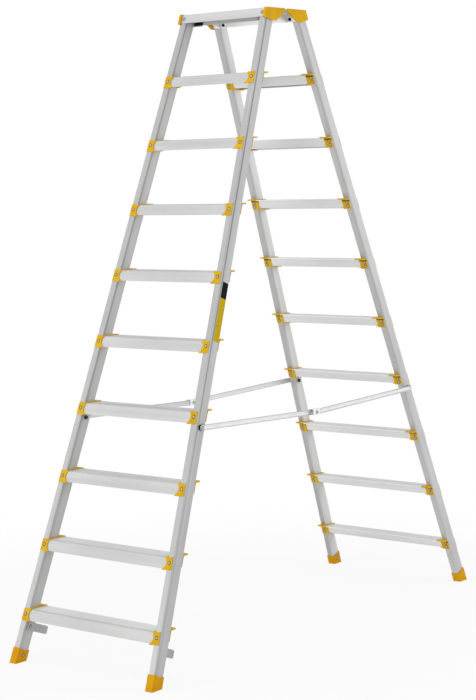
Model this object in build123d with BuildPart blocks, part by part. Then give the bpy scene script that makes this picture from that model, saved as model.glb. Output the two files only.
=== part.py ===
from build123d import *
import os
from math import atan, cos, hypot, radians, sin, tan

os.makedirs("parts", exist_ok=True)

# A double-sided step ladder, standing open. Millimetres, +Z up, X across the treads, front frame on -Y.
# The origin is on the floor, midway between the four feet.
# Pieces are drawn at the front right corner and mirrored to the corner they belong to.

LEFT, RIGHT = -1, 1
FRONT, REAR = -1, 1

# ---- stance ----
lean = 20.9  # each frame from the vertical, degrees
half_foot_spacing = 318.5  # centre to the stile's centre line at the floor
platform_depth = 110.7  # centre to the climbing face at the platform's top
tread_count = 9
tread_rise = 235.0
first_tread_height = 182.5  # floor to the top of the lowest tread
running_gap = 0.3  # between faces that pass each other
seat_gap = 0.2  # between a moulded piece and what it holds
pin_clearance = 0.05  # radial, pin in its hole

# ---- stiles ----
stile_width = 25.0
stile_depth = 48.0
stile_wall = 1.6
stile_corner = 2.5
stile_top_gap = 6.0  # stile's end below the platform's top

# ---- feet ----
foot_side_wall = 4.3  # over the stile's webs
foot_face_wall = 1.8  # over its front and rear faces
foot_height = 53.0  # at the climbing face
sole_thickness = 7.0  # under the stile's lowest corner
foot_sag = 3.0  # dip of the foot's upper rim along the webs

# ---- treads ----
tread_depth = 72.0
tread_wall = 2.0
tread_ledge = 3.0  # thickness of the top where it runs on behind the rear leg
tread_front_drop = 37.5
tread_rear_drop = 33.5
tread_lip = 12.0
tread_nose = 5.0  # radius of the climbing edge
groove_count = 5
groove_width = 5.0
groove_depth = 0.8
groove_pitch = 11.0

# ---- tread brackets ----
socket_wall = 2.5
socket_web = 3.0  # least thickness between tread end and stile
socket_rim = 5.0  # how far the rim reaches over the tread
bottom_flange = 13.0
wing_reach = 10.0  # inboard of the tread's end, around the top's ledge
wing_height = 5.5
ear_thickness = 3.0
ear_inset = 2.0  # climbing-side ear from the stile's outer edge
ear_reach = 12.5  # climbing-side ear beyond the stile's inner edge
ear_waist = 4.2
ear_tip = 18.0
ear_waist_rise = 4.5  # above the rivet line
ear_level = 17.0  # the ears' rivet line, below the tread's top
ear_rise = 19.5
ear_drop = 23.5
rear_ear_thickness = 2.0
rear_ear_reach = 9.5
rear_ear_rise = 17.5
rear_ear_drop = 22.0

# ---- platform ----
platform_half_length = 202.0
platform_overhang = 16.0  # beyond the stile's centre line at the platform's top
platform_wall = 2.5
platform_front_drop = 32.0
platform_inner_drop = 41.0
platform_lip = 6.0
platform_gap = 16.0  # between the two halves
platform_groove_count = 7
cap_plate = 4.5
cap_rim = 1.5  # over the platform's top
cap_brow = 6.5  # before the platform's front
cap_overlap = 6.0
cap_outer_drop = 34.0
cap_inner_drop = 45.0
cap_toe_inset = 24.0  # the cap's flat lower edge starts this far behind the climbing face
cap_toe_length = 24.0
cap_edge_drop = 9.0
cap_corner = 3.0

# ---- top hinge ----
hinge_drop = 17.0  # pin below the platform's top
hinge_arm_width = 24.0
hinge_plate = 3.0
hinge_pin_radius = 4.0
hinge_head_radius = 7.0
hinge_head_height = 2.5
hinge_arm_inset = 40.5  # front leaf's arm from the platform's end
hinge_tab_width = 44.0
hinge_tab_reach = 24.0  # inboard of the arm's inner face
hinge_tab_height = 24.0
hinge_tab_drop = 31.0  # middle of the tab below the platform's top

# ---- spreaders ----
spreader_tread = 4  # the tread under which the spreaders pivot, counted from the floor
spreader_drop = 53.0  # below that tread's top
spreader_dip = 21.0  # middle joint below the line between the outer pivots
link_height = 18.0
link_depth = 8.0
link_wall = 1.5
link_flange_stop = 9.5  # flanges end this far from the pivots
front_bush_length = 6.0
bush_radius = 10.0
bolt_radius = 4.0
bolt_head_radius = 7.0
bolt_head_height = 4.0
nut_radius = 7.5
nut_height = 6.0
clip_length = 48.0
clip_wall = 1.5
clip_rise = 12.0  # above the middle pivot
clip_drop = 10.5
pin_head_radius = 6.5
pin_head_height = 2.0

# ---- latch plates ----
latch_gap = 0.4  # below the lowest bracket's ear
latch_height = 30.0
latch_reach = 65.0  # behind the stile
latch_start = 9.0
latch_thickness = 2.5
latch_corner = 5.0
latch_holes = [16.0, 38.0]  # behind the stile
latch_hole_radius = 2.0

# ---- worked out from the above ----
lean_r = radians(lean)
slope = tan(lean_r)
outward = Vector(0, -cos(lean_r), sin(lean_r))
platform_height = first_tread_height + tread_count * tread_rise
half_top_spacing = platform_half_length - platform_overhang
flare_r = atan((half_foot_spacing - half_top_spacing) * cos(lean_r) / platform_height)
across = Vector(cos(flare_r), sin(flare_r) * sin(lean_r), sin(flare_r) * cos(lean_r))
along = Vector(-sin(flare_r), cos(flare_r) * sin(lean_r), cos(flare_r) * cos(lean_r))
half_base = platform_depth + platform_height * slope
foot_point = Vector(half_foot_spacing, -half_base, 0)
stile_start = (sole_thickness + stile_depth * sin(lean_r)) / along.Z
stile_end = (platform_height - stile_top_gap) / along.Z
climbing_face = Plane(origin=foot_point, x_dir=across, z_dir=outward)
cross_section = Plane(origin=foot_point, x_dir=across, z_dir=along)
climbing_section = Plane(origin=foot_point, x_dir=-outward, z_dir=across)
tread_heights = [first_tread_height + tread_rise * level for level in range(tread_count)]
level_step = along * (tread_rise / along.Z)
inner_web, outer_web = -stile_width / 2, stile_width / 2
spreader_height = tread_heights[spreader_tread - 1] - spreader_drop
hinge_height = platform_height - hinge_drop
lowest_ear_bottom = (first_tread_height - ear_level) / along.Z - ear_drop
latch_centre = lowest_ear_bottom - latch_gap - latch_height / 2
rear_bush_length = front_bush_length + link_depth + 2 * running_gap


def face_y(height, depth=0.0):
    """Y of a plane parallel to the climbing face, depth behind it, at a height above the floor."""
    return -half_base + height * slope + depth / cos(lean_r)


def web_x(y, height, offset):
    """X where a line across the ladder meets the plane this far outside the stile's middle."""
    return half_foot_spacing + (offset - across.Y * (y + half_base) - across.Z * height) / across.X


def to_corner(side, end):
    """Mirror the piece being built from the front right corner to its own."""
    if side == LEFT:
        mirror(about=Plane.YZ, mode=Mode.REPLACE)
    if end == REAR:
        mirror(about=Plane.XZ, mode=Mode.REPLACE)


def finish(piece, name):
    piece.part.label = name
    export_step(piece.part, f"parts/{name}.step")


def end_name(end):
    return "front" if end == FRONT else "rear"


def side_name(side):
    return "left" if side == LEFT else "right"


# ---- spreader geometry: where the links pivot ----
pivot_y = face_y(spreader_height, stile_depth / 2)
pivot_web = web_x(pivot_y, spreader_height, outer_web)
middle_height = spreader_height - spreader_dip
link_length = hypot(pivot_y, spreader_dip)
front_link_face = pivot_web + front_bush_length + running_gap
rear_link_face = pivot_web + rear_bush_length + running_gap
clip_inner_face = front_link_face - running_gap - clip_wall
clip_outer_face = rear_link_face + link_depth + running_gap + clip_wall


# ---- stiles ----
def make_stile(side, end):
    with BuildPart() as stile:
        with BuildSketch(cross_section.offset(stile_start)):
            with Locations((0, stile_depth / 2)):
                RectangleRounded(stile_width, stile_depth, stile_corner)
                Rectangle(stile_width - 2 * stile_wall, stile_depth - 2 * stile_wall, mode=Mode.SUBTRACT)
        extrude(amount=stile_end - stile_start)
        with Locations(Plane(origin=(pivot_web, pivot_y, spreader_height), z_dir=(1, 0, 0))):
            Hole(bolt_radius + pin_clearance)
        to_corner(side, end)
    finish(stile, f"{end_name(end)}_{side_name(side)}_stile")


# ---- feet: boots that cover the stile's cut end ----
def make_foot(side, end):
    top = foot_height / along.Z
    with BuildPart() as foot:
        with BuildSketch(cross_section.offset(-stile_depth)):
            with Locations((0, stile_depth / 2)):
                RectangleRounded(
                    stile_width + 2 * foot_side_wall,
                    stile_depth + 2 * foot_face_wall,
                    stile_corner + foot_face_wall,
                )
        extrude(amount=stile_depth + top)
        with BuildSketch(cross_section.offset(stile_start)):
            with Locations((0, stile_depth / 2)):
                Rectangle(stile_width + 2 * seat_gap, stile_depth + 2 * seat_gap)
        extrude(amount=top, mode=Mode.SUBTRACT)
        rim = Plane(origin=foot_point + along * top, x_dir=-outward, z_dir=across)
        with BuildSketch(rim):
            with BuildLine():
                dip = ThreePointArc((0, 0), (stile_depth / 2, -foot_sag), (stile_depth, 0))
                Line(dip @ 1, dip @ 0)
            make_face()
        extrude(amount=stile_width, both=True, mode=Mode.SUBTRACT)
        split(bisect_by=Plane.XY, keep=Keep.TOP)
        to_corner(side, end)
    finish(foot, f"{end_name(end)}_{side_name(side)}_foot")


# ---- treads ----
def tread_outline(height, grow):
    """Corners of a tread's two legs and the top between them, grown on every side."""
    top = height + grow
    front_bottom, rear_bottom = height - tread_front_drop - grow, height - tread_rear_drop - grow
    front, rear = seat_gap - grow, stile_depth - seat_gap + grow
    return [
        Vector(face_y(front_bottom, front), front_bottom),
        Vector(face_y(top, front), top),
        Vector(face_y(top, rear), top),
        Vector(face_y(rear_bottom, rear), rear_bottom),
    ]


def ledge_outline(height, grow):
    """Corners of the tread's ledge behind its rear leg, grown on every side."""
    top, bottom = height + grow, height - tread_ledge - grow
    rear = face_y(height, seat_gap) + tread_depth + grow
    root = stile_depth - tread_wall / 2
    return [(face_y(bottom, root), bottom), (face_y(top, root), top), (rear, top), (rear, bottom)]


def tread_half_length(height):
    """Half the gap between the stiles where it is narrowest beside the tread, less the bracket's web."""
    return web_x(face_y(height, stile_depth), height, inner_web) - socket_web


def make_tread(level, end):
    height = tread_heights[level]
    front_bottom, front_top, rear_top, rear_bottom = tread_outline(height, 0)
    lip = (rear_bottom - front_bottom).normalized() * tread_lip
    half = tread_half_length(height)
    with BuildPart() as tread:
        with BuildSketch(Plane.YZ.offset(-half)) as profile:
            with BuildLine():
                corners = (front_bottom, front_top, rear_top, rear_bottom)
                Polyline(front_bottom + lip, *corners, rear_bottom - lip)
                offset(amount=tread_wall, side=Side.RIGHT, kind=Kind.INTERSECTION)
            make_face()
            Polygon(*ledge_outline(height, 0), align=None)
            nose_outer, nose_inner = profile.vertices().sort_by_distance(front_top)[:2]
            fillet(nose_outer, radius=tread_nose)
            fillet(nose_inner, radius=tread_nose - tread_wall)
            with Locations((front_top.X + tread_depth / 2, height)):
                with GridLocations(groove_pitch, 1, groove_count, 1):
                    Rectangle(groove_width, 2 * groove_depth, mode=Mode.SUBTRACT)
        extrude(amount=2 * half)
        to_corner(RIGHT, end)
    finish(tread, f"{end_name(end)}_tread_{level + 1}")


# ---- tread brackets: a socket for the tread's end, with ears before and behind the stile ----
def build_bracket():
    """The lowest bracket at the front right."""
    height = first_tread_height
    half = tread_half_length(height)
    ear_along = (height - ear_level) / along.Z
    rear_along = ear_along + stile_depth * slope
    rim_top = height + seat_gap + socket_wall
    wing_rear = face_y(height, seat_gap) + tread_depth + seat_gap + socket_wall
    front_bottom, front_top, rear_top, rear_bottom = tread_outline(height, seat_gap + socket_wall)
    with BuildPart() as bracket:
        with BuildSketch(Plane.YZ.offset(half - socket_rim)):
            Polygon(front_bottom, front_top, rear_top, rear_bottom, align=None)
        extrude(amount=socket_rim + 3 * socket_web)
        with BuildSketch(Plane.YZ.offset(half - bottom_flange)):
            Polygon(
                front_bottom,
                (face_y(front_bottom.Y + socket_wall, seat_gap), front_bottom.Y + socket_wall),
                rear_bottom + Vector(0, socket_wall),
                rear_bottom,
                align=None,
            )
        extrude(amount=bottom_flange)
        split(bisect_by=climbing_section.offset(inner_web - seat_gap), keep=Keep.BOTTOM)
        with BuildSketch(Plane.YZ.offset(half - wing_reach)):
            Polygon(
                (face_y(rim_top - wing_height, stile_depth), rim_top - wing_height),
                (wing_rear, rim_top - wing_height),
                (wing_rear, rim_top),
                (face_y(rim_top, stile_depth), rim_top),
                align=None,
            )
        extrude(amount=wing_reach + socket_web + stile_width)
        with BuildSketch(climbing_face):
            with BuildLine():
                top, bottom = ear_along + ear_rise, ear_along - ear_drop
                inner_arc = ThreePointArc(
                    (inner_web - ear_reach, top),
                    (inner_web - ear_waist, ear_along + ear_waist_rise),
                    (inner_web - ear_tip, bottom + socket_wall),
                )
                Polyline(
                    inner_arc @ 1,
                    (inner_web - ear_waist, bottom),
                    (outer_web - ear_inset, bottom),
                    (outer_web - ear_inset, top),
                    inner_arc @ 0,
                )
            make_face()
        extrude(amount=ear_thickness)
        with BuildSketch(climbing_face):
            with BuildLine():
                add(inner_arc)
                Polyline(
                    inner_arc @ 1,
                    (inner_web - ear_tip - ear_reach, bottom + socket_wall),
                    (inner_web - ear_tip - ear_reach, top),
                    inner_arc @ 0,
                )
            make_face()
        extrude(amount=ear_thickness, mode=Mode.SUBTRACT)
        with BuildSketch(climbing_face.offset(-stile_depth - rear_ear_thickness)):
            with Locations((outer_web, rear_along + rear_ear_rise)):
                Rectangle(
                    stile_width + rear_ear_reach,
                    rear_ear_rise + rear_ear_drop,
                    align=(Align.MAX, Align.MAX),
                )
        extrude(amount=rear_ear_thickness)
        with BuildSketch(cross_section):
            with Locations((inner_web - seat_gap, stile_depth / 2)):
                Rectangle(2 * stile_width, stile_depth, align=(Align.MIN, Align.CENTER))
        extrude(amount=2 * rear_along, mode=Mode.SUBTRACT)
        with BuildSketch(Plane.YZ.offset(half - 2 * bottom_flange)):
            Polygon(*tread_outline(height, seat_gap), align=None)
            Polygon(*ledge_outline(height, seat_gap), align=None)
        extrude(amount=2 * bottom_flange + seat_gap, mode=Mode.SUBTRACT)
    return bracket.part


def make_brackets(bracket, side, end):
    with BuildPart() as brackets:
        with Locations(*[level_step * level for level in range(tread_count)]):
            add(bracket)
        to_corner(side, end)
    finish(brackets, f"{end_name(end)}_{side_name(side)}_tread_brackets")


# ---- platform: one half on each frame ----
def make_platform(end):
    top, bottom = platform_height, platform_height - platform_front_drop
    inner_edge = -platform_gap / 2
    flange_top, flange_bottom = top - platform_wall / 2, top - platform_inner_drop
    with BuildPart() as platform:
        with BuildSketch(Plane.YZ.offset(-platform_half_length)) as profile:
            with BuildLine():
                front_top = (face_y(top, -platform_wall), top)
                Polyline(
                    (face_y(bottom, -platform_wall), bottom),
                    front_top,
                    (inner_edge, top),
                    (inner_edge, top - platform_lip),
                )
                offset(amount=platform_wall, side=Side.RIGHT, kind=Kind.INTERSECTION)
            make_face()
            nose_outer, nose_inner = profile.vertices().sort_by_distance(front_top)[:2]
            fillet(nose_outer, radius=tread_nose)
            fillet(nose_inner, radius=tread_nose - platform_wall)
            Polygon(
                (face_y(flange_bottom, stile_depth), flange_bottom),
                (face_y(flange_top, stile_depth), flange_top),
                (face_y(flange_top, stile_depth + platform_wall), flange_top),
                (face_y(flange_bottom, stile_depth + platform_wall), flange_bottom),
                align=None,
            )
            with Locations(((face_y(top) + inner_edge) / 2, top)):
                with GridLocations(groove_pitch, 1, platform_groove_count, 1):
                    Rectangle(groove_width, 2 * groove_depth, mode=Mode.SUBTRACT)
        extrude(amount=2 * platform_half_length)
        to_corner(RIGHT, end)
    finish(platform, f"{end_name(end)}_platform")


def make_cap(side, end):
    top, bottom = platform_height + seat_gap, platform_height - cap_outer_drop
    brow = platform_wall + seat_gap + cap_brow
    toe = cap_toe_inset - platform_depth
    with BuildPart() as cap:
        with BuildSketch(Plane.YZ.offset(platform_half_length - cap_overlap)):
            Polygon(
                (-platform_gap / 2, top + cap_rim),
                (face_y(top + cap_rim, -brow), top + cap_rim),
                (face_y(bottom, -brow), bottom),
                (toe, platform_height - cap_inner_drop),
                (toe + cap_toe_length, platform_height - cap_inner_drop),
                (-platform_gap / 2, platform_height - cap_edge_drop),
                align=None,
            )
            fillet(vertices(), radius=cap_corner)
        extrude(amount=cap_overlap + seat_gap + cap_plate)
        with BuildSketch(Plane.YZ.offset(platform_half_length - cap_overlap)):
            skin = -platform_wall - seat_gap
            low = platform_height - 2 * cap_inner_drop
            Polygon((0, top), (face_y(top, skin), top), (face_y(low, skin), low), (0, low), align=None)
        extrude(amount=cap_overlap + seat_gap, mode=Mode.SUBTRACT)
        to_corner(side, end)
    finish(cap, f"{end_name(end)}_{side_name(side)}_cap")


# ---- top hinge: a leaf on each half of the platform, side by side on the pin ----
def leaf_start(end):
    """X of the leaf's inner face."""
    front = platform_half_length - hinge_arm_inset
    return front if end == FRONT else front - running_gap - hinge_plate


def make_hinge_leaf(side, end):
    start = leaf_start(end)
    tab_height = platform_height - hinge_tab_drop
    root_y = face_y(tab_height, stile_depth + platform_wall)
    arm_length = hypot(root_y, hinge_height - tab_height)
    toward_tab = (0, root_y, tab_height - hinge_height)
    arm = Plane(origin=(start, 0, hinge_height), x_dir=toward_tab, z_dir=(1, 0, 0))
    flange = Plane(origin=(start, root_y, tab_height), x_dir=(1, 0, 0), z_dir=outward)
    with BuildPart() as leaf:
        with BuildSketch(arm):
            with Locations((arm_length / 2, 0)):
                SlotCenterToCenter(arm_length, hinge_arm_width)
            Circle(hinge_pin_radius + pin_clearance, mode=Mode.SUBTRACT)
        extrude(amount=hinge_plate)
        split(bisect_by=flange, keep=Keep.BOTTOM)
        with BuildSketch(flange):
            with Locations((-hinge_tab_reach, 0)):
                Rectangle(hinge_tab_width, hinge_tab_height, align=(Align.MIN, Align.CENTER))
        extrude(amount=-hinge_plate)
        to_corner(side, end)
    finish(leaf, f"{end_name(end)}_{side_name(side)}_hinge_leaf")


def add_pin(start, length, y, height, radius):
    """A round bar across the ladder."""
    with Locations(Plane(origin=(start, y, height), z_dir=(1, 0, 0))):
        Cylinder(radius, length, align=(Align.CENTER, Align.CENTER, Align.MIN))


def make_hinge_pins():
    inner, outer = leaf_start(REAR), leaf_start(FRONT) + hinge_plate
    head = hinge_head_height
    with BuildPart() as pins:
        add_pin(inner - running_gap - head, head, 0, hinge_height, hinge_head_radius)
        add_pin(inner - running_gap, outer - inner + running_gap, 0, hinge_height, hinge_pin_radius)
        add_pin(outer, head, 0, hinge_height, hinge_head_radius)
        mirror(about=Plane.YZ)
    finish(pins, "hinge_pins")


# ---- spreaders: channels that fold upward at the middle ----
def make_link(side, end):
    start = front_link_face if end == FRONT else rear_link_face
    line = Plane(origin=(start, 0, middle_height), x_dir=(0, pivot_y, spreader_dip), z_dir=(1, 0, 0))
    with BuildPart() as link:
        with BuildSketch(line):
            with Locations((link_length / 2, 0)):
                SlotCenterToCenter(link_length, link_height)
            with Locations((0, 0), (link_length, 0)):
                Circle(bolt_radius + pin_clearance, mode=Mode.SUBTRACT)
        extrude(amount=link_wall)
        with BuildSketch(line):
            with Locations((link_length / 2, 0)):
                with GridLocations(1, link_height - link_wall, 1, 2):
                    Rectangle(link_length - 2 * link_flange_stop, link_wall)
        extrude(amount=link_depth)
        to_corner(side, end)
    finish(link, f"{side_name(side)}_{end_name(end)}_link")


def make_clip(side):
    """A saddle over both links: its top stops them where they lie open."""
    inner, outer = clip_inner_face, clip_outer_face
    with BuildPart() as clip:
        with BuildSketch(Plane.YZ.offset(inner)):
            with Locations((0, middle_height + clip_rise)):
                Rectangle(clip_length, clip_rise + clip_drop, align=(Align.CENTER, Align.MAX))
        extrude(amount=outer - inner)
        with BuildSketch(Plane.YZ.offset(inner + clip_wall)):
            with Locations((0, middle_height + clip_rise - clip_wall)):
                Rectangle(2 * clip_length, clip_rise + clip_drop, align=(Align.CENTER, Align.MAX))
        extrude(amount=outer - inner - 2 * clip_wall, mode=Mode.SUBTRACT)
        with Locations(Plane(origin=(inner, 0, middle_height), z_dir=(1, 0, 0))):
            Hole(bolt_radius + pin_clearance)
        to_corner(side, FRONT)
    finish(clip, f"{side_name(side)}_spreader_clip")


def make_middle_pin(side):
    """The rivet through both links and the clip."""
    with BuildPart() as pin:
        add_pin(clip_inner_face - pin_head_height, pin_head_height, 0, middle_height, pin_head_radius)
        add_pin(clip_inner_face, clip_outer_face - clip_inner_face, 0, middle_height, bolt_radius)
        add_pin(clip_outer_face, pin_head_height, 0, middle_height, pin_head_radius)
        to_corner(side, FRONT)
    finish(pin, f"{side_name(side)}_spreader_pin")


def make_bushes(end):
    """Spacers between the stiles' outer webs and the links."""
    length = front_bush_length if end == FRONT else rear_bush_length
    with BuildPart() as bushes:
        add_pin(pivot_web - stile_wall, stile_wall + length, pivot_y, spreader_height, bush_radius)
        split(bisect_by=climbing_section.offset(outer_web), keep=Keep.TOP)
        with Locations(Plane(origin=(pivot_web, pivot_y, spreader_height), z_dir=(1, 0, 0))):
            Hole(bolt_radius + pin_clearance)
        mirror(about=Plane.YZ)
        to_corner(RIGHT, end)
    finish(bushes, f"{end_name(end)}_spreader_bushes")


def make_pivot_bolts(end):
    """Bolts through the stiles; at the front they also carry the links' ends."""
    nut_web = web_x(pivot_y + nut_radius, spreader_height + nut_radius, inner_web)
    stop = front_link_face + link_wall + running_gap if end == FRONT else pivot_web + rear_bush_length
    with BuildPart() as bolts:
        add_pin(nut_web - nut_height, stop - nut_web + nut_height, pivot_y, spreader_height, bolt_radius)
        with BuildSketch(Plane(origin=(nut_web, pivot_y, spreader_height), z_dir=(-1, 0, 0))):
            RegularPolygon(nut_radius, 6)
        extrude(amount=nut_height)
        if end == FRONT:
            add_pin(stop, bolt_head_height, pivot_y, spreader_height, bolt_head_radius)
        mirror(about=Plane.YZ)
        to_corner(RIGHT, end)
    finish(bolts, f"{end_name(end)}_pivot_bolts")


def make_link_bolt_head(side):
    """The head of the rear pivot bolt, in the rear link's outer end."""
    with BuildPart() as head:
        add_pin(rear_link_face, link_wall, pivot_y, spreader_height, bolt_radius)
        add_pin(rear_link_face + link_wall, bolt_head_height, pivot_y, spreader_height, bolt_head_radius)
        to_corner(side, REAR)
    finish(head, f"{side_name(side)}_rear_bolt_head")


# ---- latch plates, low on the front stiles' inner webs ----
def make_latch_plates():
    length = stile_depth + latch_reach - latch_start
    with BuildPart() as plates:
        with BuildSketch(climbing_section.offset(inner_web)) as plate:
            with Locations((latch_start, latch_centre)):
                Rectangle(length, latch_height, align=(Align.MIN, Align.CENTER))
            chamfer(plate.vertices(), length=latch_corner)
            with Locations(*[(stile_depth + reach, latch_centre) for reach in latch_holes]):
                Circle(latch_hole_radius, mode=Mode.SUBTRACT)
        extrude(amount=-latch_thickness)
        mirror(about=Plane.YZ)
    finish(plates, "latch_plates")


corner_bracket = build_bracket()
for end in (FRONT, REAR):
    for side in (LEFT, RIGHT):
        make_stile(side, end)
        make_foot(side, end)
        make_brackets(corner_bracket, side, end)
        make_cap(side, end)
        make_hinge_leaf(side, end)
        make_link(side, end)
    for level in range(tread_count):
        make_tread(level, end)
    make_platform(end)
    make_bushes(end)
    make_pivot_bolts(end)
for side in (LEFT, RIGHT):
    make_clip(side)
    make_middle_pin(side)
    make_link_bolt_head(side)
make_hinge_pins()
make_latch_plates()
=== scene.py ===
import bmesh
import bpy
import math
from mathutils import Matrix, Vector


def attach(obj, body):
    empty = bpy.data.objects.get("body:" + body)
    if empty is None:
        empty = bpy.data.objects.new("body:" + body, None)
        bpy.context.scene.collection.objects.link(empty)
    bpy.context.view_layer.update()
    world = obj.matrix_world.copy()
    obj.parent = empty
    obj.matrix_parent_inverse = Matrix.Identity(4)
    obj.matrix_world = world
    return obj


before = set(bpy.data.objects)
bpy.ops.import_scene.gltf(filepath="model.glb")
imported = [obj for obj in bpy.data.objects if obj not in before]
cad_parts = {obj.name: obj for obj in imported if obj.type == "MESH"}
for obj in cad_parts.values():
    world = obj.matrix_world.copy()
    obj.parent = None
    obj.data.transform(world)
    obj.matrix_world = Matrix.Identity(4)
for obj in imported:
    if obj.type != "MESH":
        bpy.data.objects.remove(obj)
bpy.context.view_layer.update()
print("frame loaded:", len(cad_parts), "nodes")

mm = 0.001
left, right, front, rear = -1, 1, -1, 1
sideNames = {left: "Left", right: "Right"}
endNames = {front: "Front", rear: "Rear"}

# how the ladder stands, as the frame has it
stance = {
    "lean": math.radians(20.9),
    "halfSpacing": 318.5 * mm,
    "halfTop": 186 * mm,
    "platformDepth": 110.7 * mm,
    "stileWidth": 25 * mm,
    "stileDepth": 48 * mm,
    "firstTread": 182.5 * mm,
    "treadRise": 235 * mm,
    "treadCount": 9,
}

sinLean, cosLean = math.sin(stance["lean"]), math.cos(stance["lean"])
platformTop = stance["firstTread"] + stance["treadCount"] * stance["treadRise"]
flare = math.atan((stance["halfSpacing"] - stance["halfTop"]) * cosLean / platformTop)
sinFlare, cosFlare = math.sin(flare), math.cos(flare)
outward = Vector((0, -cosLean, sinLean))
across = Vector((cosFlare, sinFlare * sinLean, sinFlare * cosLean))
along = Vector((-sinFlare, cosFlare * sinLean, cosFlare * cosLean))
halfBase = stance["platformDepth"] + platformTop * sinLean / cosLean
footPoint = Vector((stance["halfSpacing"], -halfBase, 0))


def stilePoint(sideways, up, depth):
    # a point of the front right stile, from the middle of its climbing face at the floor
    return footPoint + across * sideways + along * up - outward * depth


def runTo(height, depth=0.0):
    # how far along a stile such a height lies
    return (height + depth * sinLean) / along.z


def facePoint(x, height, depth):
    # a point so deep behind the plane of the climbing faces
    return Vector((x, -halfBase + (height * sinLean + depth) / cosLean, height))


def toCorner(vector, side, end):
    # from the front right corner to its twin at another one
    return Vector((vector.x * side, vector.y * -end, vector.z))


def srgb(red, green, blue):
    shares = [value / 255 for value in (red, green, blue)]
    linear = [s / 12.92 if s <= 0.04045 else ((s + 0.055) / 1.055) ** 2.4 for s in shares]
    return (*linear, 1)


def scaled(colour, amount, lift=0.0):
    return tuple(channel * amount + lift for channel in colour[:3]) + (1,)


class Signal:
    # a socket that can be added, multiplied and compared like a number
    def __init__(self, tree, socket):
        self.tree, self.socket = tree, socket

    def combine(self, operation, first, second):
        node = self.tree.nodes.new("ShaderNodeMath")
        node.operation = operation
        for slot, value in zip(node.inputs, (first, second)):
            if isinstance(value, Signal):
                self.tree.links.new(value.socket, slot)
            else:
                slot.default_value = value
        return Signal(self.tree, node.outputs[0])

    def __add__(self, other):
        return self.combine("ADD", self, other)

    def __radd__(self, other):
        return self.combine("ADD", other, self)

    def __sub__(self, other):
        return self.combine("SUBTRACT", self, other)

    def __rsub__(self, other):
        return self.combine("SUBTRACT", other, self)

    def __mul__(self, other):
        return self.combine("MULTIPLY", self, other)

    def __rmul__(self, other):
        return self.combine("MULTIPLY", other, self)

    def larger(self, other):
        return self.combine("MAXIMUM", self, other)

    def within(self, period):
        return self.combine("FLOORED_MODULO", self, period)

    def size(self):
        return self.larger(0 - self)

    def other(self, name):
        # another output of the same node
        return Signal(self.tree, self.socket.node.outputs[name])


class Graph:
    def __init__(self, tree):
        self.tree = tree

    def node(self, kind, settings, sockets, output=0):
        made = self.tree.nodes.new(kind)
        for key, value in settings.items():
            setattr(made, key, value)
        for key, value in sockets.items():
            if isinstance(value, Signal):
                self.tree.links.new(value.socket, made.inputs[key])
            else:
                made.inputs[key].default_value = value
        return Signal(self.tree, made.outputs[output]) if made.outputs else made

    def seenRays(self):
        # camera, mirror and glass rays, which see the background as plain white
        rays = self.node("ShaderNodeLightPath", {}, {}, "Is Camera Ray")
        return rays.larger(rays.other("Is Glossy Ray")).larger(rays.other("Is Transmission Ray"))


noiseRange = (0.3, 0.7)  # what a noise mostly keeps to


class Finish(Graph):
    # a material whose noises and fades are measured in the frame's own metres
    def __init__(self, name):
        self.material = bpy.data.materials.new(name)
        self.material.use_nodes = True
        super().__init__(self.material.node_tree)
        self.shader = self.tree.nodes["Principled BSDF"]
        self.place = self.node("ShaderNodeTexCoord", {}, {}, "Object")

    def blend(self, factor, first, second):
        # a Mix node's colours are its sockets 6 and 7, and come out at 2
        return self.node("ShaderNodeMix", {"data_type": "RGBA"}, {0: factor, 6: first, 7: second}, 2)

    def fade(self, value, low, high, start=0.0, end=1.0):
        # a smooth step from start to end while value goes from low to high
        smooth = {"interpolation_type": "SMOOTHSTEP"}
        steps = {"From Min": low, "From Max": high, "To Min": start, "To Max": end}
        return self.node("ShaderNodeMapRange", smooth, {"Value": value, **steps})

    def grain(self, scale, detail, roughness, stretch=(1, 1, 1), spin=(0, 0, 0)):
        # a noise drawn out by stretch along axes that are turned by spin
        turn = {0: self.place, "Rotation": spin}
        turned = self.node("ShaderNodeMapping", {"vector_type": "TEXTURE"}, turn)
        squeezed = self.node("ShaderNodeMapping", {}, {0: turned, "Scale": stretch})
        noise = {"Vector": squeezed, "Scale": scale, "Detail": detail, "Roughness": roughness}
        return self.node("ShaderNodeTexNoise", {}, noise)

    def distance(self, direction, origin):
        # how far a point lies along a direction from an origin
        dot = {"operation": "DOT_PRODUCT"}
        reach = self.node("ShaderNodeVectorMath", dot, {0: self.place, 1: direction}, "Value")
        return reach - direction.dot(origin)

    def height(self):
        return self.distance(Vector((0, 0, 1)), Vector())

    def depth(self, end):
        # how deep a point lies behind the climbing faces of the front or the rear frame
        return self.distance(-toCorner(outward, right, end), toCorner(footPoint, right, end))

    def fromMiddle(self, *axis):
        return self.distance(Vector(axis), Vector()).size()

    def feed(self, name, value):
        if isinstance(value, Signal):
            self.tree.links.new(value.socket, self.shader.inputs[name])
        else:
            self.shader.inputs[name].default_value = value

    def gloss(self, value, middle, swing):
        # roughness goes a little up and down with a noise
        self.feed("Roughness", self.fade(value, *noiseRange, middle - swing, middle + swing))

    def relief(self, height, strength, distance):
        bump = {"Height": height, "Strength": strength, "Distance": distance}
        self.feed("Normal", self.node("ShaderNodeBump", {}, bump))


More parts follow.
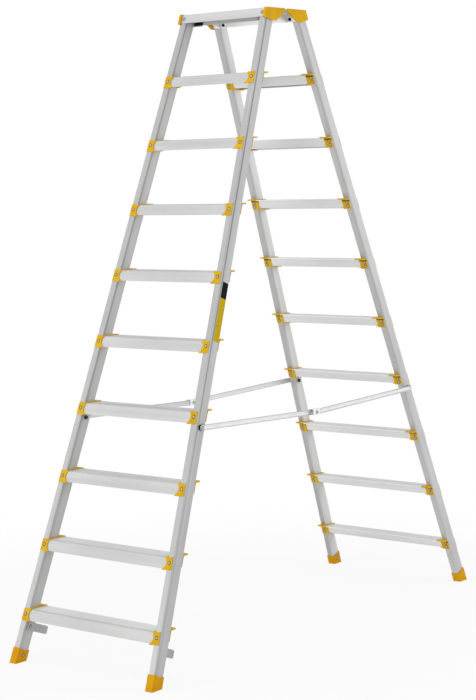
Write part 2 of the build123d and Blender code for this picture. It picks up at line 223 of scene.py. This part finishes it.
# in these settings a noise has its scale, detail and roughness, gloss its middle and
# swing, relief its strength and distance, and an edge the two places it fades between
extrusion = {
    "lines": (900, 3, 0.6),
    "lineStretch": (0.004, 1, 1),
    "streaks": (55, 2, 0.5),
    "streakStretch": (0.02, 1, 1),
    "smudges": (6, 4, 0.6),
    "lineShare": 0.5,  # of the gloss, with the smudges
    "streakShare": 0.6,  # of the wear, with the smudges
    "wearRange": (0.32, 0.68),
    "metallic": 0.2,
    "gloss": (0.46, 0.08),
    "relief": (0.2, 0.2 * mm),
}


def extrusionFinish(name, direction):
    # fine die lines run along the direction that the profile was drawn in
    made = Finish(name)
    spin = direction.to_track_quat("X", "Z").to_euler()
    lines = made.grain(*extrusion["lines"], extrusion["lineStretch"], spin)
    streaks = made.grain(*extrusion["streaks"], extrusion["streakStretch"], spin)
    smudges = made.grain(*extrusion["smudges"])
    made.feed("Metallic", extrusion["metallic"])
    share = extrusion["lineShare"]
    made.gloss(lines * share + smudges * (1 - share), *extrusion["gloss"])
    made.relief(lines, *extrusion["relief"])
    share = extrusion["streakShare"]
    return made, made.fade(streaks * share + smudges * (1 - share), *extrusion["wearRange"])


stiles = {
    "pale": srgb(197, 198, 197),
    "dull": srgb(184, 185, 184),
    "paintedShade": 0.1,  # how dark the painted shade is, as a share of the dull tone
    # painted light: each corner's faces and webs are painted lighter or darker for how light falls on
    # that corner
    "facePaintedLight": {(left, front): 1.0, (right, front): 1.0, (left, rear): 0.96, (right, rear): 1.06},
    "webPaintedLight": {(left, front): 1.0, (right, front): 1.0, (left, rear): 1.4, (right, rear): 1.13},
    "webEdge": (10 * mm, 12.25 * mm),  # sideways from the middle of the face
    # painted shade: the dark line down each front web
    "shadeLineDepth": 8.3 * mm,
    "shadeLineSlant": 0.14,
    "shadeLineWidth": 6.5 * mm,
    "shadeLineShade": {left: 0.5, right: 0.62},
    "rearWebEdge": (2 * mm, 18 * mm),
    "rearWebShade": 0.38,
    "faintEdge": {front: (0.3, 1.2), rear: (0.5, 1.3)},  # heights where the shades fade in
    "faintest": 0.2,
    # painted shade along one stretch of height on three stiles
    "dimBands": {
        (left, front): {"middle": 2.25, "reach": 0.6, "strength": 0.11, "on": "face"},
        (right, front): {"middle": 1.6, "reach": 0.65, "strength": 0.13, "on": "web"},
        (left, rear): {"middle": 0.0, "reach": 0.7, "strength": 0.15, "on": "face"},
    },
}


def stileFinish(side, end):
    name = "stileAluminium" + endNames[end] + sideNames[side]
    made, wear = extrusionFinish(name, toCorner(along, side, end))
    # painted light: a lighter or darker copy of the stile tone for the faces and another for the webs
    face, web = [
        made.blend(wear, scaled(stiles["dull"], lift), scaled(stiles["pale"], lift))
        for lift in (stiles["facePaintedLight"][side, end], stiles["webPaintedLight"][side, end])
    ]
    depth, height = made.depth(end), made.height()
    sideways = made.distance(toCorner(across, side, end), toCorner(footPoint, side, end))
    onWeb = made.fade(sideways.size(), *stiles["webEdge"])
    if end == front:
        # painted shade: a dark line is painted down each web just behind the climbing edge
        fromShadeLine = (depth - sideways * stiles["shadeLineSlant"] - stiles["shadeLineDepth"]).size()
        shade = made.fade(fromShadeLine, 0, stiles["shadeLineWidth"], stiles["shadeLineShade"][side], 0.0)
    else:
        # painted shade: the rear webs are painted darker next to the edge that faces the other frame
        # and grow paler away from it
        fromInside = stance["stileDepth"] - depth
        shade = made.fade(fromInside, *stiles["rearWebEdge"], stiles["rearWebShade"], 0.0)
    shade = shade * onWeb * made.fade(height, *stiles["faintEdge"][end], stiles["faintest"], 1.0)
    if (side, end) in stiles["dimBands"]:
        # painted shade: a stile is painted duller along one stretch of its height
        dimBand = stiles["dimBands"][side, end]
        fromDimBand = (height - dimBand["middle"]).size()
        dimmed = made.fade(fromDimBand, 0, dimBand["reach"], dimBand["strength"], 0.0)
        shade = shade + dimmed * (onWeb if dimBand["on"] == "web" else 1 - onWeb)
    plain = made.blend(onWeb, face, web)
    made.feed("Base Color", made.blend(shade, plain, scaled(stiles["dull"], stiles["paintedShade"])))
    return made


treads = {
    "pale": srgb(213, 213, 212),
    "dull": srgb(202, 203, 203),
    # painted light: the brighter tone painted on the rear legs, the ledges' edges and the lower tops
    "legPale": srgb(236, 237, 236),
    "legDull": srgb(227, 228, 228),
    "paintedShade": 0.2,
    "legEdge": (1 * mm, 2 * mm),
    "ledgeEdge": (65 * mm, 66 * mm),
    "topEdge": (4 * mm, 9 * mm),
    "topLightEdge": {front: (0.2, 0.9), rear: (1.6, 2.1)},  # heights
    "noseEdge": (0.2, 0.9),  # heights
    "noseShade": 0.12,
    "middleEdge": (0.05, 0.24),  # sideways
    "middleShade": 0.06,
}


def treadFinish(end):
    # painted light: the rear legs, the ledges' edges and the tops of the lower treads are painted in a
    # brighter tone, painted shade darkens the noses of the lowest treads, and each tread is a little
    # darker towards its middle
    made, wear = extrusionFinish("treadAluminium" + endNames[end], Vector((1, 0, 0)))
    tone = made.blend(wear, treads["dull"], treads["pale"])
    lit = made.blend(wear, treads["legDull"], treads["legPale"])
    depth, height = made.depth(end), made.height()
    leg = made.fade((depth - stance["stileDepth"]).size(), *treads["legEdge"], 1.0, 0.0)
    ledge = made.fade(depth, *treads["ledgeEdge"])
    onTop = made.fade(depth, *treads["topEdge"])
    topLight = made.fade(height, *treads["topLightEdge"][end], 1.0, 0.0)
    low = made.fade(height, *treads["noseEdge"], 1.0, 0.0)
    middle = made.fade(made.fromMiddle(1, 0, 0), *treads["middleEdge"], treads["middleShade"], 0.0)
    darkened = middle + (1 - onTop) * low * treads["noseShade"]
    bright = made.blend(leg.larger(ledge).larger(onTop * topLight), tone, lit)
    made.feed("Base Color", made.blend(darkened, bright, scaled(treads["dull"], treads["paintedShade"])))
    return made


platform = {
    "flangeEdge": (47 * mm, 47.5 * mm),
    "hangingEdge": (2276 * mm, 2292 * mm),  # heights
    "flangePaintedLight": {front: srgb(213, 213, 212), rear: srgb(252, 252, 251)},
}


def platformFinish(end):
    # painted light: the hanging parts of the flanges that face each other under the platform are
    # painted brighter
    made, wear = extrusionFinish("platformAluminium" + endNames[end], Vector((1, 0, 0)))
    tone = made.blend(wear, treads["dull"], treads["pale"])
    flange = made.fade(made.depth(end), *platform["flangeEdge"])
    hanging = flange * made.fade(made.height(), *platform["hangingEdge"], 1.0, 0.0)
    made.feed("Base Color", made.blend(hanging, tone, platform["flangePaintedLight"][end]))
    return made


moulding = {
    "capBright": srgb(232, 180, 12),
    "capDeep": srgb(222, 168, 4),
    "footBright": srgb(228, 167, 0),
    "footDeep": srgb(217, 154, 0),
    "flow": (22, 3, 0.55),
    "flowRange": (0.35, 0.65),
    "fine": (1400, 2, 0.5),
    "gloss": (0.5, 0.07),
    "specular": 0.1,
    "relief": (0.12, 0.3 * mm),
}


def mouldedFinish(name, deep, bright):
    # slow swirls of the melt under a fine moulded texture
    made = Finish(name)
    flow = made.grain(*moulding["flow"])
    tone = made.blend(made.fade(flow, *moulding["flowRange"]), deep, bright)
    made.feed("Base Color", tone)
    made.gloss(flow, *moulding["gloss"])
    made.feed("Specular IOR Level", moulding["specular"])
    made.relief(made.grain(*moulding["fine"]), *moulding["relief"])
    return made, tone


brackets = {
    "bright": srgb(231, 186, 22),
    "deep": srgb(220, 171, 11),
    "paintedShade": 0.08,
    # where the painted shadow of each wing falls on the ear below it
    "creaseDrop": 6.5 * mm,  # below the tread's top
    "creaseEdge": (1 * mm, 5 * mm),
    "creaseShade": 0.75,
    "innerEdge": (47.5 * mm, 48 * mm),
}


def bracketFinish(end):
    # painted shadow: the wing's shadow is painted into the crease on the ear below it
    made, tone = mouldedFinish("bracketYellow" + endNames[end], brackets["deep"], brackets["bright"])
    drop = (stance["firstTread"] - made.height()).within(stance["treadRise"])
    crease = made.fade((drop - brackets["creaseDrop"]).size(), *brackets["creaseEdge"], 1.0, 0.0)
    wingShadow = crease * made.fade(made.depth(end), *brackets["innerEdge"]) * brackets["creaseShade"]
    made.feed("Base Color", made.blend(wingShadow, tone, scaled(brackets["deep"], brackets["paintedShade"])))
    return made


plating = {
    "platePale": srgb(178, 179, 179),
    "plateDull": srgb(157, 158, 159),
    "leafPale": srgb(250, 250, 249),
    "leafDull": srgb(238, 238, 238),
    "rivetPale": srgb(214, 213, 210),
    "rivetDull": srgb(180, 180, 180),
    "spangleScale": 900,
    "cloud": (14, 3, 0.6),
    "cloudShare": 0.8,
    "cloudRange": (0.25, 0.65),
    "metallic": 0.3,
    "gloss": (0.4, 0.07),
    "relief": (0.05, 0.3 * mm),
}


def platedFinish(name, dull, pale):
    # fine zinc spangle over a slow cloudiness
    made = Finish(name)
    cells = {"Vector": made.place, "Scale": plating["spangleScale"]}
    spangle = made.node("ShaderNodeTexVoronoi", {}, cells)
    cloud = made.grain(*plating["cloud"])
    share = plating["cloudShare"]
    mottle = made.fade(cloud * share + spangle * (1 - share), *plating["cloudRange"])
    tone = made.blend(mottle, dull, pale)
    made.feed("Base Color", tone)
    made.feed("Metallic", plating["metallic"])
    made.gloss(cloud, *plating["gloss"])
    made.relief(spangle, *plating["relief"])
    return made, tone


spreaders = {
    "pale": srgb(229, 229, 228),
    "dull": srgb(221, 222, 222),
    "paintedShade": 0.1,
    # painted light: each corner's links and the clip are painted lighter or darker for how light falls
    # on them
    "lift": {(left, front): 0.97, (right, front): 1.27, (left, rear): 1.17, (right, rear): 1.25},
    "frontPivot": Vector((0, -643.68, 834.5)) * mm,
    "middlePivot": Vector((0, 0, 813.5)) * mm,
    "rimEdge": (6 * mm, 8.5 * mm),
    "rimShade": 0.5,
    "foldAt": 1.2 * mm,  # above a link's middle line
    "foldWidth": 2.2 * mm,
    "foldShade": 0.2,
    "clipEdge": (20 * mm, 23 * mm),
    "clipShade": 0.5,
}


def spreaderFinish(name, side, end):
    lift = spreaders["lift"][side, end]
    dull, pale = scaled(spreaders["dull"], lift), scaled(spreaders["pale"], lift)
    made, tone = platedFinish(name, dull, pale)
    return made, tone, scaled(dull, spreaders["paintedShade"])


def linkFinish(side, end):
    # painted shade: a link's rims and a line along the crease near its middle are painted darker
    made, tone, paintedShade = spreaderFinish("linkZinc" + endNames[end] + sideNames[side], side, end)
    run = (spreaders["middlePivot"] - spreaders["frontPivot"]).normalized()
    normal = toCorner(Vector((1, 0, 0)).cross(run), right, end)
    rise = made.distance(normal, toCorner(spreaders["middlePivot"], right, end))
    rim = made.fade(rise.size(), *spreaders["rimEdge"], 0.0, spreaders["rimShade"])
    fromFold = (rise - spreaders["foldAt"]).size()
    fold = made.fade(fromFold, 0, spreaders["foldWidth"], spreaders["foldShade"], 0.0)
    made.feed("Base Color", made.blend(rim.larger(fold), tone, paintedShade))
    return made


def clipFinish():
    # painted shade: the clip's cut ends are painted as dark edges
    made, tone, paintedShade = spreaderFinish("clipZinc", right, rear)
    cut = made.fade(made.fromMiddle(0, 1, 0), *spreaders["clipEdge"], 0.0, spreaders["clipShade"])
    made.feed("Base Color", made.blend(cut, tone, paintedShade))
    return made


blacks = {
    "steel": srgb(34, 34, 35),
    "steelGloss": (0.45, 0.08),
    "plastic": srgb(30, 30, 31),
    "plasticGloss": (0.5, 0.08),
    "cloud": (60, 3, 0.6),
    "cloudRange": (0.35, 0.65),
    "cloudDepth": 0.7,
    "specular": 0.1,
    "relief": (0.1, 0.4 * mm),
}


def blackFinish(name, kind):
    made = Finish(name)
    shade = blacks[kind]
    cloud = made.grain(*blacks["cloud"])
    mottle = made.fade(cloud, *blacks["cloudRange"])
    made.feed("Base Color", made.blend(mottle, scaled(shade, blacks["cloudDepth"]), shade))
    made.gloss(cloud, *blacks[kind + "Gloss"])
    made.feed("Specular IOR Level", blacks["specular"])
    made.relief(cloud, *blacks["relief"])
    return made


bolts = {
    "nutEdge": (261.5 * mm, 262 * mm),  # sideways, between a bolt's nut and its shank
}


def boltFinish():
    # plated bolts whose nuts, between the stiles, are black
    made, tone = platedFinish("pivotBoltMetal", plating["plateDull"], plating["platePale"])
    onNut = made.fade(made.fromMiddle(1, 0, 0), *bolts["nutEdge"], 1.0, 0.0)
    made.feed("Base Color", made.blend(onNut, tone, blacks["steel"]))
    return made


corners = [(side, end) for side in (left, right) for end in (front, rear)]
treadAluminium = {end: treadFinish(end) for end in (front, rear)}
platformAluminium = {end: platformFinish(end) for end in (front, rear)}
stileAluminium = {corner: stileFinish(*corner) for corner in corners}
bracketYellow = {end: bracketFinish(end) for end in (front, rear)}
capYellow = mouldedFinish("capYellow", moulding["capDeep"], moulding["capBright"])[0]
footYellow = mouldedFinish("footYellow", moulding["footDeep"], moulding["footBright"])[0]
linkZinc = {corner: linkFinish(*corner) for corner in corners}
clipZinc = clipFinish()
plateZinc = platedFinish("plateZinc", plating["plateDull"], plating["platePale"])[0]
leafZinc = platedFinish("leafZinc", plating["leafDull"], plating["leafPale"])[0]
rivetMetal = platedFinish("rivetMetal", plating["rivetDull"], plating["rivetPale"])[0]
pivotBolts = boltFinish()
blackSteel = blackFinish("blackSteel", "steel")
blackPlastic = blackFinish("blackPlastic", "plastic")
print("finishes made")


def finishFor(name):
    end = front if "front" in name else rear
    side = left if "left" in name else right
    finishes = {
        "_stile": stileAluminium[side, end],
        "_foot": footYellow,
        "_cap": capYellow,
        "_tread_brackets": bracketYellow[end],
        "_platform": platformAluminium[end],
        "_bushes": blackPlastic if end == front else plateZinc,
        "_pivot_bolts": pivotBolts,
        "_hinge_leaf": blackSteel if end == front else leafZinc,
        "_bolt_head": leafZinc,
        "_link": linkZinc[side, end],
        "_clip": clipZinc,
    }
    for ending, finish in finishes.items():
        if name.endswith(ending):
            return finish
    return treadAluminium[end] if "_tread_" in name else plateZinc


for name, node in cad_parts.items():
    node.data.materials.clear()
    node.data.materials.append(finishFor(name).material)
print("frame dressed")

rivets = {
    "radius": 4.2 * mm,
    "height": 2.0 * mm,
    "segments": 20,
    # reach and rise up the head and into its broken stem, as shares of radius and height
    "headFoot": 1.02,
    "head": [(1.0, 0.3), (0.9, 0.62), (0.66, 0.9), (0.42, 1.0), (0.36, 0.95), (0.3, 0.45)],
    # the ring round each head is painted shade, dark brown on yellow parts and dark grey on aluminium
    "shadeRingRadius": 7.0 * mm,
    "shadeRingHeight": 0.25 * mm,
    "shadeRingBevel": 0.97,
    "shadeRingBands": 2,
    "shadeRingYellow": srgb(104, 72, 20),
    "shadeRingGrey": srgb(76, 77, 77),
    "paintedShade": (420, 3, 0.6),
    "ringMottleDepth": 0.75,
    "ringGloss": (0.6, 0.1),
    "ringRelief": (0.1, 0.2 * mm),
    "inset": 2.0 * mm,
    "earDrop": 16.9 * mm,
    "earThickness": 3 * mm,
    "rearEarThickness": 2 * mm,
    "rearDrops": (12.5 * mm, 27 * mm),
    "platformHeight": 2281 * mm,
    "platformSkin": 2.5 * mm,
    "tabHeight": 2265 * mm,
    "tabSides": (147 * mm, 170 * mm),
    "tabDepth": 53.5 * mm,
    "footHeight": 24 * mm,
    "footWall": 4.3 * mm,
    "latchRun": 138.5 * mm,
    "latchWall": 2.5 * mm,
}

backings = {
    "near": 134 * mm,
    "far": 173 * mm,
    "low": 2257.5 * mm,
    "high": 2286 * mm,
    "thickness": 1.5 * mm,
    "rivetAt": 127 * mm,
}


def rivetSpots(end):
    # points, directions and kinds, at the front right corner
    spots = []
    inside = -stance["stileWidth"] / 2
    middle = stance["stileDepth"] / 2
    for level in range(stance["treadCount"]):
        top = stance["firstTread"] + level * stance["treadRise"]
        ear = stilePoint(-rivets["inset"], runTo(top - rivets["earDrop"]), -rivets["earThickness"])
        spots.append((ear, outward, "shadeRingYellow"))
        for drop in rivets["rearDrops"]:
            run = runTo(top - drop, stance["stileDepth"])
            ear = stilePoint(0, run, stance["stileDepth"] + rivets["rearEarThickness"])
            spots.append((ear, -outward, "shadeRingYellow"))
    skin = stilePoint(-rivets["inset"], runTo(rivets["platformHeight"]), -rivets["platformSkin"])
    spots.append((skin, outward, "shadeRingGrey"))
    for reach in rivets["tabSides"]:
        tab = facePoint(reach, rivets["tabHeight"], rivets["tabDepth"])
        spots.append((tab, -outward, "blackRivet"))
    backing = facePoint(backings["rivetAt"], rivets["tabHeight"], stance["stileDepth"])
    spots.append((backing, outward, "bareRivet"))
    boot = stilePoint(inside - rivets["footWall"], runTo(rivets["footHeight"], middle), middle)
    spots.append((boot, -across, "shadeRingYellow"))
    if end == front:
        plate = stilePoint(inside - rivets["latchWall"], rivets["latchRun"], middle)
        spots.append((plate, -across, "shadeRingGrey"))
    return spots


def shadeRingFinish(name):
    # painted shade: the dark ring of shade round a rivet's head, mottled by a noise
    made = Finish(name)
    shade = rivets[name]
    paintedShade = made.grain(*rivets["paintedShade"])
    mottle = made.fade(paintedShade, *noiseRange)
    made.feed("Base Color", made.blend(mottle, scaled(shade, rivets["ringMottleDepth"]), shade))
    made.gloss(paintedShade, *rivets["ringGloss"])
    made.relief(paintedShade, *rivets["ringRelief"])
    return made


# what each kind of rivet shows on the thin ring round its head and down its stem; the yellow and grey
# rings are painted shade
rivetFinishes = {
    "bareRivet": rivetMetal,
    "shadeRingYellow": shadeRingFinish("shadeRingYellow"),
    "shadeRingGrey": shadeRingFinish("shadeRingGrey"),
    "blackRivet": blackSteel,
}


def pieceFrom(shape, name, finishes):
    mesh = bpy.data.meshes.new(name)
    shape.to_mesh(mesh)
    shape.free()
    for finish in finishes:
        mesh.materials.append(finish.material)
    piece = bpy.data.objects.new(name, mesh)
    bpy.context.scene.collection.objects.link(piece)
    return piece


def addRivet(shape, centre, up, kind):
    # a low dome with the broken stem sunk in its middle, on a thin round ring; for most kinds the ring
    # is painted shade round the head
    wide = rivets["shadeRingRadius"] / rivets["radius"]
    low = rivets["shadeRingHeight"] / rivets["height"]
    outline = [(wide, 0), (wide * rivets["shadeRingBevel"], low), (rivets["headFoot"], low), *rivets["head"]]
    turn = up.to_track_quat("Z", "X").to_matrix()
    slot = list(rivetFinishes).index(kind)
    steps = range(rivets["segments"])
    rings = []
    for reach, rise in outline:
        ring = []
        for step in steps:
            angle = 2 * math.pi * step / rivets["segments"]
            spoke = Vector((math.cos(angle), math.sin(angle), 0)) * reach * rivets["radius"]
            spoke.z = rise * rivets["height"]
            ring.append(shape.verts.new(centre + turn @ spoke))
        rings.append(ring)
    for index, (lower, upper) in enumerate(zip(rings, rings[1:])):
        for step in steps:
            after = (step + 1) % rivets["segments"]
            face = shape.faces.new((lower[step], lower[after], upper[after], upper[step]))
            if index < rivets["shadeRingBands"] or kind == "blackRivet":
                face.material_index = slot
    shape.faces.new(rings[-1]).material_index = slot
    shape.faces.new(reversed(rings[0]))


def closedRivets(name, end):
    shape = bmesh.new()
    for point, direction, kind in rivetSpots(end):
        for side in (left, right):
            up = toCorner(direction, side, end).normalized()
            addRivet(shape, toCorner(point, side, end), up, kind)
    return pieceFrom(shape, name, rivetFinishes.values())


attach(closedRivets("front_rivets", front), "front_frame")
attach(closedRivets("rear_rivets", rear), "rear_frame")
print("rivets set")


def thinPieces(name, panels, finish, body):
    # each panel is four corners seen from outside and the same four a thickness behind
    shape = bmesh.new()
    for outer, inner in panels:
        top = [shape.verts.new(corner) for corner in outer]
        bottom = [shape.verts.new(corner) for corner in inner]
        shape.faces.new(top)
        shape.faces.new(bottom)
        for i in range(4):
            after = (i + 1) % 4
            shape.faces.new((top[i], top[after], bottom[after], bottom[i]))
    bmesh.ops.recalc_face_normals(shape, faces=shape.faces)
    piece = pieceFrom(shape, name, [finish])
    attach(piece, body)


def backingPlates(end):
    # black plates against the platform's inner flange, clamped by the hinge leaves behind it
    panels = []
    spots = [("near", "low"), ("far", "low"), ("far", "high"), ("near", "high")]
    for side in (left, right):
        faces = []
        for depth in (stance["stileDepth"] - backings["thickness"], stance["stileDepth"]):
            points = [facePoint(backings[x], backings[height], depth) for x, height in spots]
            faces.append([toCorner(point, side, end) for point in points])
        panels.append(faces)
    return panels


thinPieces("front_backing_plates", backingPlates(front), blackSteel, "front_frame")
thinPieces("rear_backing_plates", backingPlates(rear), blackSteel, "rear_frame")
print("backing plates fitted")

# a blank two-part sticker on the right front stile
sticker = {
    "from": 1209.6 * mm,
    "split": 1367 * mm,
    "to": 1425 * mm,
    "nearDepth": 15 * mm,
    "farDepth": 46 * mm,
    "lift": 0.25 * mm,
    "yellow": srgb(210, 176, 18),
    "black": srgb(14, 14, 14),
    "scuff": (90, 4, 0.65),
    "scuffRange": (0.45, 0.75),
    "scuffDepth": 0.8,
    "dust": 0.002,
    "gloss": (0.5, 0.07),
    "specular": 0.05,
    "relief": (0.05, 0.2 * mm),
}


def stickerFinish(name, colour):
    made = Finish(name)
    scuff = made.grain(*sticker["scuff"])
    darkened = scaled(colour, sticker["scuffDepth"], sticker["dust"])
    made.feed("Base Color", made.blend(made.fade(scuff, *sticker["scuffRange"]), colour, darkened))
    made.gloss(scuff, *sticker["gloss"])
    made.feed("Specular IOR Level", sticker["specular"])
    made.relief(scuff, *sticker["relief"])
    return made


def stickerPanel(name, low, high):
    sideways = stance["stileWidth"] / 2 + sticker["lift"]
    outer = []
    for run, depth in ((low, "nearDepth"), (low, "farDepth"), (high, "farDepth"), (high, "nearDepth")):
        outer.append(stilePoint(sideways, run, sticker[depth]))
    inner = [corner - across * sticker["lift"] for corner in outer]
    finish = stickerFinish(name + "Print", sticker[name])
    thinPieces("sticker_" + name, [(outer, inner)], finish, "front_frame")


stickerPanel("yellow", sticker["from"], sticker["split"])
stickerPanel("black", sticker["split"], sticker["to"])
print("sticker placed")

room = {
    "white": (1, 1, 1, 1),
    "floorSize": 60.0,
    "floorDrop": 0.5 * mm,
    "floorColour": (0.92, 0.92, 0.92, 1),
    "floorRoughness": 0.9,
    "whiteEdge": (0.9, 2.6),
    "nearWhite": 0.86,
    "skyStrength": 0.58,
    "lampAim": Vector((0, 0, 1.3)),
}


def makeFloor():
    # the paper keeps the ladder's shadow and turns plain white further away
    bpy.ops.mesh.primitive_plane_add(size=room["floorSize"], location=(0, 0, -room["floorDrop"]))
    floor = bpy.context.object
    floor.name = "studio_floor"
    made = Finish("floorPaper")
    made.feed("Base Color", room["floorColour"])
    made.feed("Roughness", room["floorRoughness"])
    away = made.node("ShaderNodeVectorMath", {"operation": "LENGTH"}, {0: made.place}, "Value")
    whiten = made.seenRays() * made.fade(away, *room["whiteEdge"], room["nearWhite"], 1.0)
    paper = Signal(made.tree, made.shader.outputs[0])
    glow = made.node("ShaderNodeEmission", {}, {"Color": room["white"], "Strength": 1.0})
    mixed = made.node("ShaderNodeMixShader", {}, {0: whiten, 1: paper, 2: glow})
    made.tree.links.new(mixed.socket, made.tree.nodes["Material Output"].inputs["Surface"])
    floor.data.materials.append(made.material)


def makeSky():
    world = bpy.data.worlds.new("studio")
    bpy.context.scene.world = world
    world.use_nodes = True
    world.node_tree.nodes.clear()
    sky = Graph(world.node_tree)
    light, plain = [
        sky.node("ShaderNodeBackground", {}, {"Color": room["white"], "Strength": strength})
        for strength in (room["skyStrength"], 1.0)
    ]
    mixed = sky.node("ShaderNodeMixShader", {}, {0: sky.seenRays(), 1: light, 2: plain})
    sky.node("ShaderNodeOutputWorld", {}, {"Surface": mixed})


lamps = {
    "key": {"at": (-3.2, -7.0, 1.3), "size": 2.2, "power": 136},
    "overhead": {"at": (-0.5, -2.5, 5.0), "size": 2.0, "power": 31},
    "fill": {"at": (3.0, 1.3, 1.9), "size": 1.4, "power": 26},
}


def makeLamp(name, settings):
    light = bpy.data.lights.new(name, "AREA")
    light.shape = "DISK"
    light.size, light.energy = settings["size"], settings["power"]
    lamp = bpy.data.objects.new(name, light)
    lamp.location = settings["at"]
    lamp.rotation_mode = "QUATERNION"
    lamp.rotation_quaternion = (room["lampAim"] - lamp.location).to_track_quat("-Z", "Y")
    bpy.context.scene.collection.objects.link(lamp)


makeFloor()
makeSky()
for name, settings in lamps.items():
    makeLamp(name, settings)
print("room lit")

viewpoint = {
    "at": (4.24104, -5.36773, 1.69732),
    "turn": 0.672829,
    "tilt": -0.074892,
    "roll": -0.023719,
    "lens": 93.194,
    "shift": (-0.00566, -0.05719),
}


def makeCamera():
    turn, tilt, roll = viewpoint["turn"], viewpoint["tilt"], viewpoint["roll"]
    ahead = Vector((-math.sin(turn) * math.cos(tilt), math.cos(turn) * math.cos(tilt), math.sin(tilt)))
    level = Vector((math.cos(turn), math.sin(turn), 0))
    above = level.cross(ahead)
    sideways = math.cos(roll) * level + math.sin(roll) * above
    up = -math.sin(roll) * level + math.cos(roll) * above
    camera = bpy.data.objects.new("camera", bpy.data.cameras.new("camera"))
    axes = Matrix((sideways, up, -ahead)).transposed().to_4x4()
    camera.matrix_world = Matrix.Translation(viewpoint["at"]) @ axes
    camera.data.lens = viewpoint["lens"]
    camera.data.shift_x, camera.data.shift_y = viewpoint["shift"]
    bpy.context.scene.collection.objects.link(camera)
    bpy.context.scene.camera = camera


makeCamera()
bpy.context.scene.view_settings.view_transform = "Standard"
print("camera placed")
